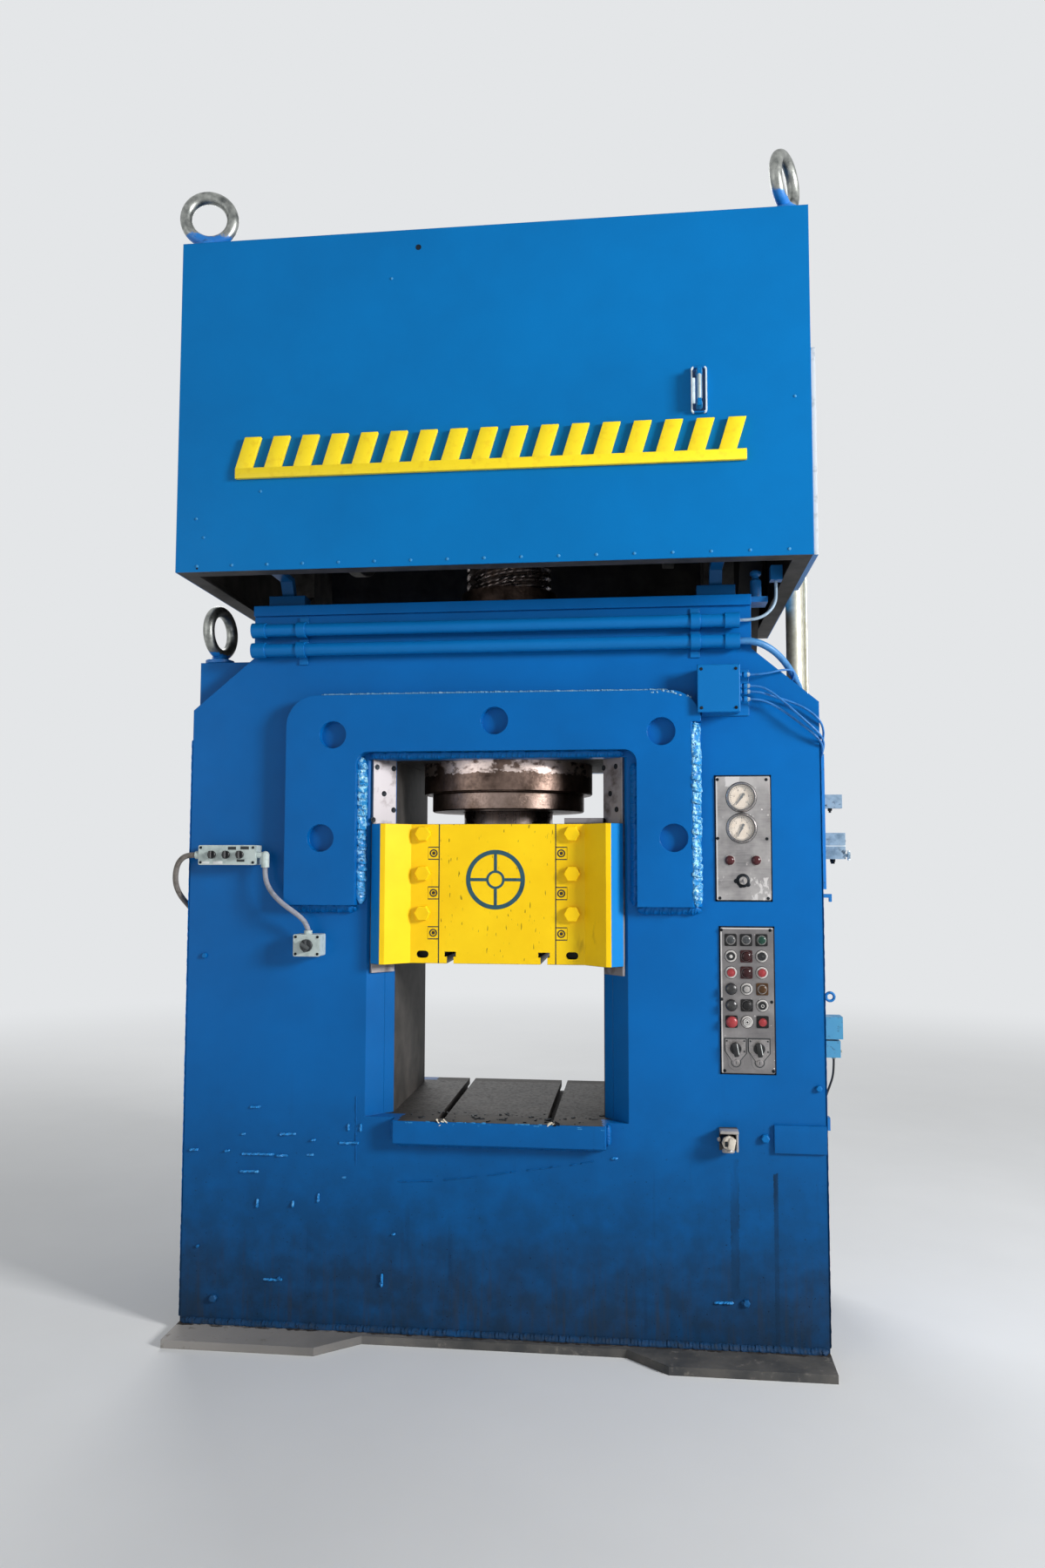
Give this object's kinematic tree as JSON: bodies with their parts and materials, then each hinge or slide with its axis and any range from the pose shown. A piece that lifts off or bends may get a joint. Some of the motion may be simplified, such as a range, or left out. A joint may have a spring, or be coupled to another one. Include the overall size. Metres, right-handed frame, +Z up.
{
  "type": "friction screw press",
  "caption": "Friction screw press: a welded box frame with a guided ram on a vertical screw, and a flywheel driven by sliding friction discs inside a sheet casing on top.",
  "frame": {"origin": "on the floor under the axis of the screw, at the underside of the base plate", "axes": "+Z up along the screw, -Y towards the operator at the front, +X to the right seen from there"},
  "size_m": [2.2036, 1.348, 3.6559],
  "materials": {
    "blue_paint": "gloss blue machine paint",
    "base_paint": "worn dark grey paint",
    "ram_paint": "gloss yellow machine paint",
    "rail_steel": "ground guide strip",
    "bolt_steel": "plain steel fastener",
    "screw_steel": "greased turned steel",
    "nut_bronze": "bronze with a brown film of grease",
    "ring_steel": "dark greasy steel",
    "wheel_iron": "turned cast iron",
    "lining_leather": "friction lining",
    "disc_iron": "turned cast iron",
    "motor_iron": "painted motor casting",
    "belt_rubber": "flat drive belt",
    "panel_steel": "brushed panel",
    "grey_box": "light grey enclosure",
    "side_box": "grey enclosure",
    "black_plastic": "black plastic",
    "red_plastic": "red plastic",
    "silver_plastic": "silver plastic",
    "lens_plastic": "lamp lens and gauge glass",
    "conduit_grey": "light grey flexible conduit",
    "cable_blue": "overpainted hose and cable",
    "pipe_steel": "pale steel pipe",
    "pointer_black": "black pointer",
    "key_steel": "plated key"
  },
  "bodies": {
    "frame": {"base_plate": "base_paint", "frame_front_plate": "blue_paint", "frame_rear_plate": "blue_paint", "frame_column_left": "blue_paint", "frame_column_right": "blue_paint", "crown_block": "blue_paint", "bed_block": "blue_paint", "yoke_plate": "blue_paint", "guide_rails": "rail_steel", "screw_nut": "nut_bronze", "nut_retaining_ring": "ring_steel", "air_pipes": "blue_paint", "casing_frame": "blue_paint", "casing_shell": "blue_paint", "casing_front_panel": "blue_paint", "eye_bolts": "pipe_steel", "riser_pipes": "pipe_steel", "junction_box": "blue_paint", "gauge_panel": "panel_steel", "button_panel": "panel_steel", "panel_lenses": "lens_plastic", "switch_boxes": "grey_box", "switch_conduits": "conduit_grey", "hoses_and_cables": "cable_blue", "bearing_standards": "blue_paint", "motor": "motor_iron", "drive_belt": "belt_rubber", "side_fittings": "side_box"},
    "ram": {"ram_block": "ram_paint", "ram_cheek_left": "ram_paint", "ram_cheek_right": "ram_paint", "ram_bolts": "bolt_steel"},
    "screw": {"screw_spindle": "screw_steel", "flywheel": "wheel_iron", "friction_lining": "lining_leather"},
    "shift": {"shift_piston": "bolt_steel"},
    "drive": {"drive_shaft": "screw_steel", "friction_discs": "disc_iron", "shaft_pulley": "wheel_iron"},
    "motor_rotor": {"motor_pulley": "wheel_iron"},
    "button_upper_left": {"button_upper_left": "black_plastic"},
    "button_upper_right": {"button_upper_right": "black_plastic"},
    "button_red_left": {"button_red_left": "red_plastic"},
    "button_red_right": {"button_red_right": "red_plastic"},
    "mushroom_upper": {"mushroom_upper": "black_plastic"},
    "button_silver": {"button_silver": "silver_plastic"},
    "mushroom_lower": {"mushroom_lower": "black_plastic"},
    "button_lower_right": {"button_lower_right": "black_plastic"},
    "mushroom_red": {"mushroom_red": "red_plastic"},
    "button_bottom_middle": {"button_bottom_middle": "black_plastic"},
    "button_bottom_right": {"button_bottom_right": "red_plastic"},
    "selector_left": {"selector_left": "black_plastic"},
    "selector_right": {"selector_right": "black_plastic"},
    "box_knob_left": {"box_knob_left": "black_plastic"},
    "box_knob_middle": {"box_knob_middle": "black_plastic"},
    "box_knob_right": {"box_knob_right": "black_plastic"},
    "small_box_knob": {"small_box_knob": "black_plastic"},
    "key_switch": {"key_switch": "key_steel"},
    "gauge_pointer_upper": {"gauge_pointer_upper": "pointer_black"},
    "gauge_pointer_lower": {"gauge_pointer_lower": "pointer_black"}
  },
  "joints": [
    {"name": "ram_slide", "type": "slide", "parent": "frame", "child": "ram", "axis": [0, 0, 1], "range_m": [-0.25, 0.03]},
    {"name": "screw_spin", "type": "hinge", "parent": "ram", "child": "screw", "pos_m": [0, 0, 1.5], "axis": [0, 0, 1], "range_deg": [-690, 82]},
    {"name": "shaft_shift", "type": "slide", "parent": "frame", "child": "shift", "axis": [1, 0, 0], "range_m": [-0.0035, 0.0035]},
    {"name": "drive_spin", "type": "hinge", "parent": "shift", "child": "drive", "pos_m": [0, 0, 2.985], "axis": [1, 0, 0], "continuous": true},
    {"name": "motor_spin", "type": "hinge", "parent": "frame", "child": "motor_rotor", "pos_m": [0.8, 0.5, 2.23], "axis": [1, 0, 0], "continuous": true},
    {"name": "button_upper_left_press", "type": "slide", "parent": "frame", "child": "button_upper_left", "axis": [0, 1, 0], "range_m": [0, 0.004], "stiffness_N_per_m": 400, "springref_m": -0.001},
    {"name": "button_upper_right_press", "type": "slide", "parent": "frame", "child": "button_upper_right", "axis": [0, 1, 0], "range_m": [0, 0.004], "stiffness_N_per_m": 400, "springref_m": -0.001},
    {"name": "button_red_left_press", "type": "slide", "parent": "frame", "child": "button_red_left", "axis": [0, 1, 0], "range_m": [0, 0.004], "stiffness_N_per_m": 400, "springref_m": -0.001},
    {"name": "button_red_right_press", "type": "slide", "parent": "frame", "child": "button_red_right", "axis": [0, 1, 0], "range_m": [0, 0.004], "stiffness_N_per_m": 400, "springref_m": -0.001},
    {"name": "mushroom_upper_press", "type": "slide", "parent": "frame", "child": "mushroom_upper", "axis": [0, 1, 0], "range_m": [0, 0.004], "stiffness_N_per_m": 400, "springref_m": -0.001},
    {"name": "button_silver_press", "type": "slide", "parent": "frame", "child": "button_silver", "axis": [0, 1, 0], "range_m": [0, 0.004], "stiffness_N_per_m": 400, "springref_m": -0.001},
    {"name": "mushroom_lower_press", "type": "slide", "parent": "frame", "child": "mushroom_lower", "axis": [0, 1, 0], "range_m": [0, 0.004], "stiffness_N_per_m": 400, "springref_m": -0.001},
    {"name": "button_lower_right_press", "type": "slide", "parent": "frame", "child": "button_lower_right", "axis": [0, 1, 0], "range_m": [0, 0.004], "stiffness_N_per_m": 400, "springref_m": -0.001},
    {"name": "mushroom_red_press", "type": "slide", "parent": "frame", "child": "mushroom_red", "axis": [0, 1, 0], "range_m": [0, 0.004], "stiffness_N_per_m": 400, "springref_m": -0.001},
    {"name": "button_bottom_middle_press", "type": "slide", "parent": "frame", "child": "button_bottom_middle", "axis": [0, 1, 0], "range_m": [0, 0.004], "stiffness_N_per_m": 400, "springref_m": -0.001},
    {"name": "button_bottom_right_press", "type": "slide", "parent": "frame", "child": "button_bottom_right", "axis": [0, 1, 0], "range_m": [0, 0.004], "stiffness_N_per_m": 400, "springref_m": -0.001},
    {"name": "selector_left_turn", "type": "hinge", "parent": "frame", "child": "selector_left", "pos_m": [0.7492, -0.331, 0.925], "axis": [0, 1, 0], "range_deg": [-45, 45]},
    {"name": "selector_right_turn", "type": "hinge", "parent": "frame", "child": "selector_right", "pos_m": [0.8208, -0.331, 0.925], "axis": [0, 1, 0], "range_deg": [-45, 45]},
    {"name": "box_knob_left_turn", "type": "hinge", "parent": "frame", "child": "box_knob_left", "pos_m": [-0.922, -0.385, 1.519], "axis": [0, 1, 0], "range_deg": [-45, 45]},
    {"name": "box_knob_middle_turn", "type": "hinge", "parent": "frame", "child": "box_knob_middle", "pos_m": [-0.874, -0.385, 1.519], "axis": [0, 1, 0], "range_deg": [-45, 45]},
    {"name": "box_knob_right_turn", "type": "hinge", "parent": "frame", "child": "box_knob_right", "pos_m": [-0.828, -0.385, 1.519], "axis": [0, 1, 0], "range_deg": [-45, 45]},
    {"name": "small_box_knob_turn", "type": "hinge", "parent": "frame", "child": "small_box_knob", "pos_m": [-0.601, -0.387, 1.23], "axis": [0, 1, 0], "range_deg": [-90, 90]},
    {"name": "key_switch_turn", "type": "hinge", "parent": "frame", "child": "key_switch", "pos_m": [0.778, -0.336, 1.4405], "axis": [0, 1, 0], "range_deg": [0, 90]},
    {"name": "gauge_pointer_upper_turn", "type": "hinge", "parent": "frame", "child": "gauge_pointer_upper", "pos_m": [0.776, -0.331, 1.701], "axis": [0, 1, 0], "range_deg": [0, 270]},
    {"name": "gauge_pointer_lower_turn", "type": "hinge", "parent": "frame", "child": "gauge_pointer_lower", "pos_m": [0.776, -0.331, 1.604], "axis": [0, 1, 0], "range_deg": [0, 270]}
  ],
  "couplings": [
    {"joint": "ram_slide", "follows": "screw_spin", "m_per_rad": 0.02069},
    {"joint": "motor_spin", "follows": "drive_spin", "ratio": 2.2222}
  ]
}
